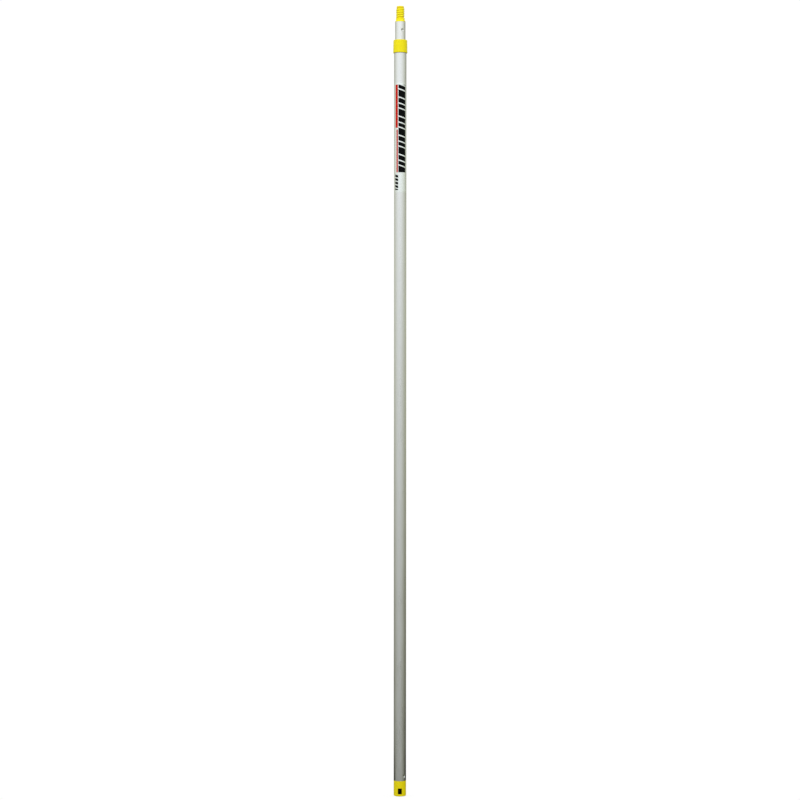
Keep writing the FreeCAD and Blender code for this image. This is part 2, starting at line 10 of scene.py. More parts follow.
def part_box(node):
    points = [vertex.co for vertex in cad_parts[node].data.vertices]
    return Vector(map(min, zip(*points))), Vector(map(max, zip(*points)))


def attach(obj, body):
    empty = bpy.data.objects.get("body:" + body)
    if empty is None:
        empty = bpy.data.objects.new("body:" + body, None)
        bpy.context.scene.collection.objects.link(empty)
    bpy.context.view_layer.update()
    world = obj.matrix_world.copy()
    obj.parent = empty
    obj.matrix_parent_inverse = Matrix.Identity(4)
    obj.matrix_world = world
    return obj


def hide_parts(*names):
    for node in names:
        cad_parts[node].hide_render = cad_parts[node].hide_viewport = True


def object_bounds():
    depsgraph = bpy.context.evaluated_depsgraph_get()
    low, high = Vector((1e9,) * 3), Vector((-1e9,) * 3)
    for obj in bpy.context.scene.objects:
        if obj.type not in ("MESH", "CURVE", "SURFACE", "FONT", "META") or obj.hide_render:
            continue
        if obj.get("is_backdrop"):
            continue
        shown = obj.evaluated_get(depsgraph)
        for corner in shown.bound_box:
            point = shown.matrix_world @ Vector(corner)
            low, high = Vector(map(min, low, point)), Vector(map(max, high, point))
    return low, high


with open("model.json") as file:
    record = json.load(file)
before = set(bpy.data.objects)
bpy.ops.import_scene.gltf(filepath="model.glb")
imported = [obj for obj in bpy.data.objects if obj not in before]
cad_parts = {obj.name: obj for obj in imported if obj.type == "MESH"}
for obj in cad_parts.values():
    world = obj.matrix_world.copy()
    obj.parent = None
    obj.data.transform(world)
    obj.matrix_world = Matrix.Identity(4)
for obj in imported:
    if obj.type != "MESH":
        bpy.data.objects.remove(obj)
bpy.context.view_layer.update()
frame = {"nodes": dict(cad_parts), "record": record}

MM = 0.001
TAU = 2.0 * math.pi
FRONT = -90.0  # degrees from +X: the window, the label and the camera are on this side


# ---------------------------------------------------------------- sizes (mm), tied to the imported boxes
def span(node):
    lo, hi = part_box(node)
    return lo / MM, hi / MM


R_OUT = next(m for m in frame["record"]["mounts"] if m["name"] == "tube_grip")["dims"]["r_mm"]
WALL_OUT = 1.25
R_BORE = R_OUT - WALL_OUT
R_IN = 11.90625
WALL_IN = 1.2
R_IN_BORE = R_IN - WALL_IN

tube_lo, tube_hi = span("outer_tube")
inner_lo, inner_hi = span("inner_tube")
tip_lo, tip_hi = span("threaded_tip")
collar_lo, collar_hi = span("collar")
cap_lo, cap_hi = span("butt_cap")
film_lo, film_hi = span("label_film")

Z_CAP = tube_lo.z            # top of the part of the cap that shows
Z_TUBE_END = tube_hi.z
Z_COLLAR = collar_lo.z
Z_COLLAR_TOP = collar_hi.z
Z_PLUG_TOP = cap_hi.z
Z_INNER_0 = inner_lo.z
Z_INNER_1 = inner_hi.z
Z_TIP_0 = tip_lo.z
Z_TIP = tip_hi.z

DENT_R, DENT_D = 6.0, 1.3
CAP_DENT = (-47.0, Z_CAP + 11.1)
TIP_DENT = (-66.0, Z_INNER_1 - 20.3)
CAM_DENT = (0.0, Z_INNER_0 + 16.0)

for name, radius, found in (
    ("outer_tube", R_OUT, tube_hi.x), ("inner_tube", R_IN, inner_hi.x),
    ("collar", 16.4, collar_hi.x), ("butt_cap", R_OUT, cap_hi.x),
):
    if abs(radius - found) > 0.25:
        raise RuntimeError("%s: radius %.3f, packed box %.3f" % (name, radius, found))


# ---------------------------------------------------------------- mesh helpers
def arc_corner(p0, p1, p2, radius, seg):
    """Points that round the corner p1 between p0 and p2."""
    a = np.array(p0, float) - p1
    b = np.array(p2, float) - p1
    la, lb = np.linalg.norm(a), np.linalg.norm(b)
    a, b = a / la, b / lb
    cosang = float(np.clip(a @ b, -1, 1))
    ang = math.acos(cosang)
    if ang > math.pi - 1e-3:
        return [tuple(p1)]
    cut = radius / math.tan(ang / 2)
    cut = min(cut, 0.499 * la, 0.499 * lb)
    radius = cut * math.tan(ang / 2)
    mid = (a + b) / np.linalg.norm(a + b)
    centre = np.array(p1, float) + mid * (radius / math.sin(ang / 2))
    s = np.array(p1, float) + a * cut - centre
    e = np.array(p1, float) + b * cut - centre
    t0, t1 = math.atan2(s[1], s[0]), math.atan2(e[1], e[0])
    d = (t1 - t0 + math.pi) % TAU - math.pi
    return [
        tuple(centre + radius * np.array([math.cos(t0 + d * k / seg), math.sin(t0 + d * k / seg)]))
        for k in range(seg + 1)
    ]


def rounded(points, closed=True, seg=4):
    """A profile with its corners rounded. Each point is (r, z) or (r, z, radius) or (r, z, radius, segments)."""
    out = []
    n = len(points)
    for i, p in enumerate(points):
        rad = p[2] if len(p) > 2 else 0.0
        sg = p[3] if len(p) > 3 else seg
        if rad <= 0 or (not closed and i in (0, n - 1)):
            out.append((p[0], p[1]))
            continue
        q, s = points[i - 1], points[(i + 1) % n]
        out += arc_corner((q[0], q[1]), (p[0], p[1]), (s[0], s[1]), rad, sg)
    return out


def dense(points, step, closed=True):
    """Splits long runs of a profile so no piece of it is longer than step."""
    out = []
    n = len(points)
    for i, p in enumerate(points):
        out.append(p)
        if i == n - 1 and not closed:
            break
        q = points[(i + 1) % n]
        d = math.hypot(q[0] - p[0], q[1] - p[1])
        k = int(math.ceil(d / step))
        out += [(p[0] + (q[0] - p[0]) * j / k, p[1] + (q[1] - p[1]) * j / k) for j in range(1, k)]
    return out


class Skin:
    """Vertices and faces gathered in mm, then made into one mesh object."""

    def __init__(self):
        self.v, self.f = [], []

    def add(self, x, y, z):
        self.v.append((x, y, z))
        return len(self.v) - 1

    def ring(self, r, z, n, phase=0.0):
        if r <= 1e-9:
            return [self.add(0.0, 0.0, z)] * n
        return [
            self.add(r * math.cos(phase + TAU * i / n), r * math.sin(phase + TAU * i / n), z)
            for i in range(n)
        ]

    def band(self, a, b, skip=None):
        """Faces between two rings, leaving out any column in skip."""
        n = len(a)
        for i in range(n):
            if skip and i in skip:
                continue
            j = (i + 1) % n
            face = []
            for k in (a[i], a[j], b[j], b[i]):
                if k not in face:
                    face.append(k)
            if len(face) >= 3:
                self.f.append(face)

    def lathe(self, profile, n, phase=0.0, closed=True):
        rings = [self.ring(r, z, n, phase) for r, z in profile]
        last = len(rings) if closed else len(rings) - 1
        for i in range(last):
            self.band(rings[i], rings[(i + 1) % len(rings)])
        return rings

    def array(self):
        return np.array(self.v, float)

    def build(self, name, sharp=40.0, shells=True):
        mesh = bpy.data.meshes.new(name)
        mesh.from_pydata((np.array(self.v, float) * MM).tolist(), [], self.f)
        bm = bmesh.new()
        bm.from_mesh(mesh)
        bmesh.ops.remove_doubles(bm, verts=bm.verts, dist=1e-8)
        bmesh.ops.recalc_face_normals(bm, faces=bm.faces)
        bm.to_mesh(mesh)
        bm.free()
        mesh.shade_smooth()
        mesh.set_sharp_from_angle(angle=math.radians(sharp))
        obj = bpy.data.objects.new(name, mesh)
        bpy.context.scene.collection.objects.link(obj)
        return obj


def united(obj, other, sharp):
    """Joins two closed skins into one closed skin and removes the second object."""
    mod = obj.modifiers.new("union", "BOOLEAN")
    mod.operation, mod.solver, mod.object = "UNION", "EXACT", other
    bpy.context.view_layer.update()
    graph = bpy.context.evaluated_depsgraph_get()
    mesh = bpy.data.meshes.new_from_object(obj.evaluated_get(graph))
    obj.modifiers.clear()
    old, spare = obj.data, other.data
    bm = bmesh.new()
    bm.from_mesh(mesh)
    bmesh.ops.dissolve_degenerate(bm, edges=bm.edges, dist=2e-6)
    bmesh.ops.recalc_face_normals(bm, faces=bm.faces)
    bm.to_mesh(mesh)
    bm.free()
    mesh.name = obj.name
    mesh.shade_smooth()
    mesh.set_sharp_from_angle(angle=math.radians(sharp))
    obj.data = mesh
    bpy.data.objects.remove(other)
    bpy.data.meshes.remove(old)
    bpy.data.meshes.remove(spare)
    return obj


def smooth(t):
    t = np.clip(t, 0.0, 1.0)
    return t * t * (3 - 2 * t)


def dent(co, radius, wall, angle, height, depth=DENT_D, ball=DENT_R):
    """Pushes a tube's wall in over the ball end of a punch, with the drawn-in rim a real stake has."""
    r = np.hypot(co[:, 0], co[:, 1])
    th = np.arctan2(co[:, 1], co[:, 0])
    outside = r > radius - wall * 0.6
    centre = radius + ball - depth
    a = math.radians(angle)
    dth = (th - a + math.pi) % TAU - math.pi
    reach = np.where(outside, ball, ball + wall)
    side = centre * np.sin(dth)
    dz = co[:, 2] - height
    room = reach ** 2 - side ** 2 - dz ** 2
    near = (np.abs(dth) < 0.7) & (np.abs(dz) < 9) & (room > 0)
    hit = centre * np.cos(dth) - np.sqrt(np.where(room > 0, room, 0))
    d = np.where(near, r - hit, -9.0)
    k = 0.10
    push = np.where(d > -1.6, (d + np.sqrt(d * d + 4 * k * k)) / 2, 0.0)
    fade = smooth((d + 1.6) / 1.2)
    push = np.where(near, push * fade, 0.0)
    new = r - push
    out = co.copy()
    s = np.where(r > 1e-9, new / np.maximum(r, 1e-9), 1.0)
    out[:, 0] *= s
    out[:, 1] *= s
    return out


def rows(z0, z1, step, focus=(), fine=0.3, reach=6.5):
    """Heights from z0 to z1, closer together around each height in focus."""
    zs = [z0]
    z = z0
    while z < z1 - 1e-6:
        near = min([abs(z - f) for f in focus] + [1e9])
        grow = max(0.0, near - reach)
        h = min(step, fine + grow * 0.35)
        z = min(z + h, z1)
        zs.append(z)
    if len(zs) > 2 and zs[-1] - zs[-2] < fine * 0.5:
        zs.pop(-2)
    return zs


# ---------------------------------------------------------------- node material helpers
class Nodes:
    def __init__(self, name):
        self.mat = bpy.data.materials.new(name)
        self.mat.use_nodes = True
        self.t = self.mat.node_tree
        self.t.nodes.clear()
        self.out = self.t.nodes.new("ShaderNodeOutputMaterial")
        self.coord = self.t.nodes.new("ShaderNodeTexCoord").outputs["Object"]

    def link(self, a, b):
        self.t.links.new(a, b)

    def put(self, socket, value):
        if value is None:
            return
        if hasattr(value, "is_output") or isinstance(value, bpy.types.NodeSocket):
            self.link(value, socket)
        else:
            socket.default_value = value

    def math(self, op, a, b=None, c=None, clamp=False):
        n = self.t.nodes.new("ShaderNodeMath")
        n.operation = op
        n.use_clamp = clamp
        for i, x in enumerate((a, b, c)):
            if x is not None:
                self.put(n.inputs[i], x)
        return n.outputs[0]

    def add(self, a, b): return self.math("ADD", a, b)
    def sub(self, a, b): return self.math("SUBTRACT", a, b)
    def mul(self, a, b): return self.math("MULTIPLY", a, b)
    def div(self, a, b): return self.math("DIVIDE", a, b)

    def split(self, vec):
        n = self.t.nodes.new("ShaderNodeSeparateXYZ")
        self.link(vec, n.inputs[0])
        return n.outputs

    def join(self, x, y, z):
        n = self.t.nodes.new("ShaderNodeCombineXYZ")
        for i, s in enumerate((x, y, z)):
            self.put(n.inputs[i], s)
        return n.outputs[0]

    def scaled(self, vec, sx, sy, sz, offset=(0, 0, 0)):
        n = self.t.nodes.new("ShaderNodeMapping")
        self.link(vec, n.inputs["Vector"])
        n.inputs["Scale"].default_value = (sx, sy, sz)
        n.inputs["Location"].default_value = offset
        return n.outputs[0]

    def noise(self, vec, scale=1.0, detail=3.0, rough=0.5, distort=0.0):
        n = self.t.nodes.new("ShaderNodeTexNoise")
        self.link(vec, n.inputs["Vector"])
        n.inputs["Scale"].default_value = scale
        n.inputs["Detail"].default_value = detail
        n.inputs["Roughness"].default_value = rough
        n.inputs["Distortion"].default_value = distort
        return n.outputs["Fac"]

    def voronoi(self, vec, scale=1.0, feature="F1", out="Distance"):
        n = self.t.nodes.new("ShaderNodeTexVoronoi")
        n.feature = feature
        self.link(vec, n.inputs["Vector"])
        n.inputs["Scale"].default_value = scale
        return n.outputs[out]

    def remap(self, x, a, b, c=0.0, d=1.0, kind="LINEAR"):
        n = self.t.nodes.new("ShaderNodeMapRange")
        n.interpolation_type = kind
        n.clamp = True
        self.put(n.inputs["Value"], x)
        for k, v in (("From Min", a), ("From Max", b), ("To Min", c), ("To Max", d)):
            self.put(n.inputs[k], v)
        return n.outputs[0]

    def mix(self, f, a, b):
        n = self.t.nodes.new("ShaderNodeMix")
        n.data_type = "RGBA"
        self.put(n.inputs[0], f)
        self.put(n.inputs[6], a)
        self.put(n.inputs[7], b)
        return n.outputs[2]

    def bump(self, height, strength, distance, normal=None):
        n = self.t.nodes.new("ShaderNodeBump")
        n.inputs["Strength"].default_value = strength
        n.inputs["Distance"].default_value = distance
        self.link(height, n.inputs["Height"])
        if normal is not None:
            self.link(normal, n.inputs["Normal"])
        return n.outputs[0]

    def principled(self, **kw):
        n = self.t.nodes.new("ShaderNodeBsdfPrincipled")
        for k, v in kw.items():
            self.put(n.inputs[k.replace("_", " ")], v)
        return n

    def surface(self, node):
        self.link(node.outputs[0], self.out.inputs["Surface"])
        return self.mat


def srgb(r, g, b):
    def lin(c):
        c /= 255.0
        return c / 12.92 if c <= 0.04045 else ((c + 0.055) / 1.055) ** 2.4
    return (lin(r), lin(g), lin(b), 1.0)


def aluminium(name, tint=(220, 220, 218), rough=0.29, rub=(), contact_shade=(), low_outline_shade=None):
    """Satin mill-finish drawn tube: fine draw lines along Z, soft cloudiness, a few handling scuffs."""
    m = Nodes(name)
    c = m.coord
    lines = m.noise(m.scaled(c, 2300, 2300, 5.0), 1.0, 4.0, 0.6)
    broad = m.noise(m.scaled(c, 520, 520, 1.6), 1.0, 2.0, 0.5)
    cloud = m.noise(m.scaled(c, 60, 60, 9.0), 1.0, 3.0, 0.55)
    grain = m.noise(m.scaled(c, 5200, 5200, 1400), 1.0, 2.0, 0.6)
    pick = m.noise(m.scaled(c, 700, 700, 90.0), 1.0, 5.0, 0.7)
    scuff = m.remap(pick, 0.66, 0.74, 0.0, 1.0, "SMOOTHSTEP")
    hair = m.noise(m.scaled(c, 3600, 3600, 22.0, (3.1, 1.7, 0.4)), 1.0, 2.0, 0.5)
    scratch = m.remap(hair, 0.70, 0.76, 0.0, 1.0, "SMOOTHSTEP")
    tone = m.add(m.mul(m.sub(lines, 0.5), 0.10), m.add(m.mul(m.sub(broad, 0.5), 0.10), m.mul(m.sub(cloud, 0.5), 0.12)))
    tone = m.add(tone, m.mul(scuff, -0.05))
    fac = m.remap(tone, -0.16, 0.16)
    base = m.mix(fac, srgb(*[t - 18 for t in tint]), srgb(*[min(255, t + 14) for t in tint]))
    r = m.add(m.remap(cloud, 0.3, 0.7, rough - 0.035, rough + 0.045), m.mul(m.sub(lines, 0.5), 0.10))
    r = m.add(r, m.add(m.mul(scuff, 0.10), m.mul(scratch, -0.05)))
    z = m.split(c)[2]
    for z0, z1 in rub:
        # polished bands where the tube slides through its bearing
        inside = m.mul(m.remap(z, z0 - 0.004, z0 + 0.004), m.remap(z, z1 + 0.004, z1 - 0.004))
        r = m.add(r, m.mul(inside, -0.04))
    for z0, z1, amount in contact_shade:
        # painted contact shadow held against a moulding's edge, heaviest at z1: the tube is darkened where it meets
        # the collar and the cap
        shaded = m.mul(m.remap(z, z0, z1, 0.0, 1.0, "SMOOTHSTEP"), m.remap(lines, 0.2, 0.8, 0.75 * amount, amount))
        base = m.mix(shaded, base, srgb(70, 66, 40))
    if low_outline_shade:
        # painted shade on the lower tube: darker low down, most of all towards its outline, where the surface turns
        # away from the viewer
        z0, z1 = low_outline_shade
        geo = m.t.nodes.new("ShaderNodeNewGeometry")
        ix, iy, _ = m.split(geo.outputs["Incoming"])
        nx, ny, _ = m.split(geo.outputs["Normal"])
        flat = m.math("MAXIMUM", m.math("SQRT", m.add(m.mul(ix, ix), m.mul(iy, iy))), 0.05)
        away = m.sub(1.0, m.math("ABSOLUTE", m.div(m.add(m.mul(ix, nx), m.mul(iy, ny)), flat)))
        edge = m.mul(m.remap(away, 0.24, 0.42, 0.0, 1.0, "SMOOTHSTEP"), m.remap(z, z0, z1, 0.56, 0.0))
        base = m.mix(edge, base, srgb(60, 60, 46))
        # painted shade: a little darker still right at the bottom end
        base = m.mix(m.remap(z, z0, z0 + 0.05, 0.10, 0.0), base, srgb(90, 90, 82))
    height = m.add(m.mul(lines, 0.7), m.add(m.mul(grain, 0.25), m.mul(scratch, -0.5)))
    n = m.bump(height, 0.10, 0.00004)
    wave = m.noise(m.scaled(c, 34, 34, 2.2), 1.0, 1.0, 0.4)
    n2 = m.bump(wave, 0.25, 0.0004, n)
    p = m.principled(Base_Color=base, Metallic=1.0, Roughness=r, Normal=n2)
    return m, p, base, r, n2


def plastic(name, colour, dark, rough=0.36, grain_scale=1500.0, parting=0.0, sheen=0.0, sss=0.0, hollow=False, thread_shading=False):
    """Injection-moulded plastic: fine spark texture, slow colour drift, scuffed high spots, a faint parting line."""
    m = Nodes(name)
    c = m.coord
    drift = m.noise(m.scaled(c, 90, 90, 60), 1.0, 3.0, 0.5)
    flow = m.noise(m.scaled(c, 240, 240, 40, (0.3, 0.9, 0.1)), 1.0, 3.0, 0.6, 0.6)
    grain = m.noise(c, grain_scale, 3.0, 0.6)
    pits = m.voronoi(c, grain_scale * 0.9)
    spots = m.remap(m.noise(m.scaled(c, 900, 900, 900, (0.7, 0.2, 0.5)), 1.0, 5.0, 0.75), 0.66, 0.74, 0.0, 1.0, "SMOOTHSTEP")
    geo = m.t.nodes.new("ShaderNodeNewGeometry")
    point = m.remap(geo.outputs["Pointiness"], 0.44, 0.50, 0.0, 1.0)
    wear = m.remap(geo.outputs["Pointiness"], 0.515, 0.56, 0.0, 1.0)
    fac = m.add(m.mul(m.sub(drift, 0.5), 0.9), m.add(m.mul(m.sub(flow, 0.5), 0.5), 0.62))
    col = m.mix(m.remap(fac, 0.0, 1.0), dark, colour)
    # painted shade: concave places (low pointiness) are darkened towards a deeper tone of the dark colour
    col = m.mix(m.mul(m.sub(1.0, point), 0.35), col, tuple(v * 0.62 for v in dark[:3]) + (1.0,))
    light = tuple(min(1.0, v * 1.06 + 0.012) for v in colour[:3]) + (1.0,)
    col = m.mix(m.mul(wear, 0.45), col, light)
    col = m.mix(m.mul(spots, 0.10), col, tuple(v * 0.8 for v in dark[:3]) + (1.0,))
    if hollow:
        # painted shade inside the hollow seen through the hang window: its deep inside is made near black
        cx, cy, cz = m.split(c)
        rad = m.math("SQRT", m.add(m.mul(cx, cx), m.mul(cy, cy)))
        deep = m.mul(m.remap(rad, 0.0136, 0.0116, 0.0, 1.0, "SMOOTHSTEP"), m.remap(cz, 0.0034, 0.0036))
        col = m.mix(deep, col, (0.030, 0.026, 0.004, 1.0))
    if thread_shading:
        # painted shade, with some dust, in the thread's roots; a painted highlight on its crests
        tx, ty, tz = m.split(c)
        reach = m.math("SQRT", m.add(m.mul(tx, tx), m.mul(ty, ty)))
        screwed = m.mul(m.remap(tz, 1.8018, 1.8026), m.remap(tz, 1.8275, 1.8262))
        root_shade = m.mul(m.remap(reach, 0.0093, 0.00865, 0.0, 1.0, "SMOOTHSTEP"), screwed)
        col = m.mix(m.mul(root_shade, 0.88), col, srgb(224, 189, 0))
        # painted highlight: the crests are lightened towards a bright lemon yellow
        crest_highlight = m.mul(m.remap(reach, 0.0093, 0.0095, 0.0, 1.0), screwed)
        col = m.mix(m.mul(crest_highlight, 0.75), col, srgb(255, 246, 24))
    r = m.add(m.remap(drift, 0.3, 0.7, rough - 0.04, rough + 0.06), m.mul(spots, 0.12))
    r = m.add(r, m.mul(wear, 0.08))
    h = m.add(m.mul(grain, 0.6), m.mul(pits, 0.4))
    n = m.bump(h, 0.05, 0.00008)
    if parting:
        x, y, z = m.split(c)
        seam = m.remap(m.math("ABSOLUTE", y), 0.0, 0.00022, 1.0, 0.0, "SMOOTHSTEP")
        n = m.bump(seam, parting, 0.00012, n)
    p = m.principled(
        Base_Color=col, Roughness=r, Normal=n, IOR=1.5, Specular_IOR_Level=0.22, Subsurface_Weight=sss,
        Subsurface_Radius=(0.004, 0.003, 0.0008), Subsurface_Scale=0.35, Sheen_Weight=sheen,
    )
    return m, p


def steel(name):
    """Bright zinc plate: turned rings, light mottling, a faint warm and cool cast."""
    m = Nodes(name)
    c = m.coord
    rings = m.noise(m.scaled(c, 900, 900, 3000), 1.0, 4.0, 0.6)
    mott = m.noise(c, 420.0, 3.0, 0.5)
    col = m.mix(m.remap(mott, 0.35, 0.65), srgb(176, 180, 184), srgb(205, 200, 186))
    r = m.remap(rings, 0.3, 0.7, 0.26, 0.42)
    n = m.bump(rings, 0.15, 0.00008)
    return m.surface(m.principled(Base_Color=col, Metallic=1.0, Roughness=r, Normal=n))


def finish_piece(obj, mat, body, nodes):
    obj.data.materials.clear()
    obj.data.materials.append(mat)
    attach(obj, body)
    if nodes:
        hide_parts(*nodes)
    return obj


# ---------------------------------------------------------------- outer tube
def tube_piece(name, radius, wall, z0, z1, dents, n, top=None, step=30.0):
    """A tube with deburred ends and staked dimples. top is a list of outer (r, z) corners above the plain wall."""
    sk = Skin()
    focus = [d[1] for d in dents]
    bore = radius - wall
    eb = 0.28
    end = top[0][1] if top else z1 - eb
    out_rows = [z0 + eb, z0 + eb + 0.1] + rows(z0 + eb + 0.3, end - 0.3, step, focus) + [end - 0.1, end]
    in_rows = [z0 + 0.15, z0 + 0.25] + rows(z0 + 0.5, z1 - 0.5, step * 2, focus, fine=0.45) + [z1 - 0.25, z1 - 0.15]
    prof = [(radius - eb, z0)]
    prof += arc_corner((bore, z0), (radius, z0), (radius, z0 + 3), eb, 4)[1:-1]
    prof += [(radius, z) for z in out_rows]
    if top:
        prof += top[1:]
    else:
        prof += arc_corner((radius, z1 - 3), (radius, z1), (bore, z1), eb, 4)[1:]
    prof += arc_corner((prof[-1][0], z1), (bore, z1), (bore, z1 - 3), 0.15, 3)
    prof += [(bore, z) for z in reversed(in_rows[1:-1])]
    prof += arc_corner((bore, z0 + 3), (bore, z0), (radius, z0), 0.15, 3)
    clean = [prof[0]]
    for p in prof[1:]:
        if math.hypot(p[0] - clean[-1][0], p[1] - clean[-1][1]) > 1e-4:
            clean.append(p)
    sk.lathe(clean, n)
    co = sk.array()
    for angle, z in dents:
        for side in (0.0, 180.0):
            co = dent(co, radius, wall, angle + side, z)
    sk.v = co.tolist()
    return sk.build(name, 50)


swage = rounded(
    [(R_OUT, Z_COLLAR), (14.0, Z_COLLAR + 0.3), (14.0, Z_TUBE_END, 0.3), (13.2, Z_TUBE_END)],
    closed=False,
)
outer_tube = tube_piece(
    "outer_tube_drawn", R_OUT, WALL_OUT, Z_CAP, Z_TUBE_END, [CAP_DENT], 240, top=swage,
)
inner_tube = tube_piece(
    "inner_tube_drawn", R_IN, WALL_IN, Z_INNER_0, Z_INNER_1, [TIP_DENT, CAM_DENT], 216,
)

# ---------------------------------------------------------------- collar
sk = Skin()
sk.lathe(
    dense(
        rounded([
            (14.38, Z_COLLAR, 0.1),
            (16.4, Z_COLLAR, 1.2, 10),
            (16.4, Z_COLLAR + 4.4, 0.25),
            (16.25, Z_COLLAR + 5.0, 0.4),
            (16.15, Z_COLLAR + 20.0, 0.15),
            (15.95, Z_COLLAR + 20.5, 0.15),
            (15.95, Z_COLLAR_TOP, 3.4, 14),
            (12.06, Z_COLLAR_TOP, 0.22),
            (12.06, Z_TUBE_END + 1.55, 0.1),
            (14.03, Z_TUBE_END + 1.55, 0.1),
            (14.03, Z_COLLAR + 0.35),
        ]),
        1.2,
    ),
    240,
)
collar = sk.build("collar_moulded", 35)


# ---------------------------------------------------------------- butt cap with its window and rib
def window_loop(hw, z0, z1, rc, nx, nz, ka=5):
    """Points (x, z) round a rounded rectangle, from the middle of its lower left corner arc, anticlockwise."""
    def side(a0, a1, b0, n, ca, cb, t0):
        # half arc, straight run, half arc
        pts = []
        for k in range(ka):
            t = math.radians(t0 + 45.0 * k / ka)
            pts.append((ca[0] + rc * math.cos(t), ca[1] + rc * math.sin(t)))
        m = n - 2 * ka
        for k in range(m + 1):
            pts.append((a0 + (a1 - a0) * k / m, b0) if t0 in (225.0, 45.0) else (b0, a0 + (a1 - a0) * k / m))
        for k in range(1, ka):
            t = math.radians(t0 + 45.0 + 45.0 * k / ka)
            pts.append((cb[0] + rc * math.cos(t), cb[1] + rc * math.sin(t)))
        return pts
    bl, br = (-hw + rc, z0 + rc), (hw - rc, z0 + rc)
    tl, tr = (-hw + rc, z1 - rc), (hw - rc, z1 - rc)
    loop = side(bl[0], br[0], z0, nx, bl, br, 225.0)
    loop += side(br[1], tr[1], hw, nz, br, tr, 315.0)
    loop += side(tr[0], tl[0], z1, nx, tr, tl, 45.0)
    loop += side(tl[1], bl[1], -hw, nz, tl, bl, 135.0)
    return loop


def build_cap():
    N = 192
    NX, NZ = 54, 26
    lo_z, lo_in, hi_z = 3.5, 4.25, 21.6
    rc, soft = 0.9, 0.45
    win = (4.65, 5.0, 18.5)
    r_in = 10.0
    sk = Skin()
    phase = math.radians(FRONT) - TAU * (NX // 2) / N - TAU * 0
    zrows = [lo_z + (hi_z - lo_z) * k / NZ for k in range(NZ + 1)]
    zrows_in = [lo_in + (hi_z - lo_in) * k / NZ for k in range(NZ + 1)]
    outer = rounded([(0.0, 0.0), (R_OUT, 0.0, 3.2, 12), (R_OUT, lo_z)], closed=False)
    outer = [(0.0, 0.0), (4.0, 0.0), (8.0, 0.0)] + outer[1:-1]
    groove_r = R_BORE - DENT_D - 0.12
    g0, g1 = CAP_DENT[1] - 4.6, CAP_DENT[1] + 4.6
    plug = R_BORE - 0.045
    upper = dense(
        rounded([
            (R_OUT, hi_z), (R_OUT, Z_CAP, 0.3), (plug, Z_CAP, 0.15), (plug, g0, 0.2), (groove_r, g0, 0.3),
            (groove_r, g1, 0.3), (plug, g1, 0.2), (plug, Z_PLUG_TOP, 1.0), (r_in, Z_PLUG_TOP, 0.3), (r_in, hi_z),
        ], closed=False),
        1.5, closed=False,
    )
    floor = [(r_in, lo_in), (r_in, 3.5 + 0.4), (r_in - 0.12, 3.5 + 0.12), (r_in - 0.4, 3.5), (5.0, 3.5), (0.0, 3.5)]
    rings_low = [sk.ring(r, z, N, phase) for r, z in outer]
    rings_out = [sk.ring(R_OUT, z, N, phase) for z in zrows]
    rings_up = [sk.ring(r, z, N, phase) for r, z in upper[1:-1]]
    rings_in = [sk.ring(r_in, z, N, phase) for z in zrows_in]
    rings_floor = [sk.ring(r, z, N, phase) for r, z in floor[1:]]
    seq = rings_low + [rings_out[0]]
    for a, b in zip(seq, seq[1:]):
        sk.band(a, b)
    hole = set(range(NX))
    for a, b in zip(rings_out, rings_out[1:]):
        sk.band(a, b, hole)
    seq = [rings_out[-1]] + rings_up + [rings_in[-1]]
    for a, b in zip(seq, seq[1:]):
        sk.band(a, b)
    for a, b in zip(rings_in, rings_in[1:]):
        sk.band(b, a, hole)
    seq = [rings_in[0]] + rings_floor
    for a, b in zip(seq, seq[1:]):
        sk.band(a, b)

    def border(rings):
        loop = [rings[0][i] for i in range(NX)]
        loop += [rings[k][NX] for k in range(NZ)]
        loop += [rings[NZ][NX - i] for i in range(NX)]
        loop += [rings[NZ - k][0] for k in range(NZ)]
        return loop

    def place(points, radius):
        """Points (x, z) dropped straight back on to the front of a cylinder."""
        return [(x, -math.sqrt(radius * radius - x * x), z) for x, z in points]

    def offset(d):
        return window_loop(win[0] + d, win[1] - d, win[2] + d, rc + d, NX, NZ)

    def skin_loops(radius, rings, edge_offset, steps):
        """Loops on the cylinder from the patch border towards the window."""
        start = border(rings)
        a = np.array([sk.v[i] for i in start])
        ta = np.arctan2(a[:, 0], -a[:, 1])
        za = a[:, 2]
        w = offset(edge_offset)
        tb = np.array([math.asin(x / radius) for x, z in w])
        zb = np.array([z for x, z in w])
        loops = [start]
        for k in range(1, steps):
            t = 1.0 - (1.0 - k / steps) ** 1.6
            tt, zz = ta + (tb - ta) * t, za + (zb - za) * t
            loops.append([sk.add(radius * math.sin(p), -radius * math.cos(p), q) for p, q in zip(tt, zz)])
        return loops

    def join(loops):
        for a, b in zip(loops, loops[1:]):
            sk.band(a, b)

    out_loops = skin_loops(R_OUT, rings_out, soft, 8)
    for k in range(0, 6):
        psi = math.radians(90.0 * k / 5)
        d, deep = soft * (1 - math.sin(psi)), soft * (1 - math.cos(psi))
        out_loops.append([sk.add(x, y + deep, z) for x, y, z in place(offset(d), R_OUT)])
    in_soft = 0.25
    in_loops = skin_loops(r_in, rings_in, in_soft, 6)
    for k in range(0, 4):
        psi = math.radians(90.0 * k / 3)
        d, deep = in_soft * (1 - math.sin(psi)), in_soft * (1 - math.cos(psi))
        in_loops.append([sk.add(x, y - deep, z) for x, y, z in place(offset(d), r_in)])
    wall_a = [sk.v[i] for i in out_loops[-1]]
    wall_b = [sk.v[i] for i in in_loops[-1]]
    mids = []
    for k in range(1, 5):
        t = k / 5
        mids.append([sk.add(*(np.array(p) + (np.array(q) - np.array(p)) * t)) for p, q in zip(wall_a, wall_b)])
    join(out_loops + mids + in_loops[::-1])

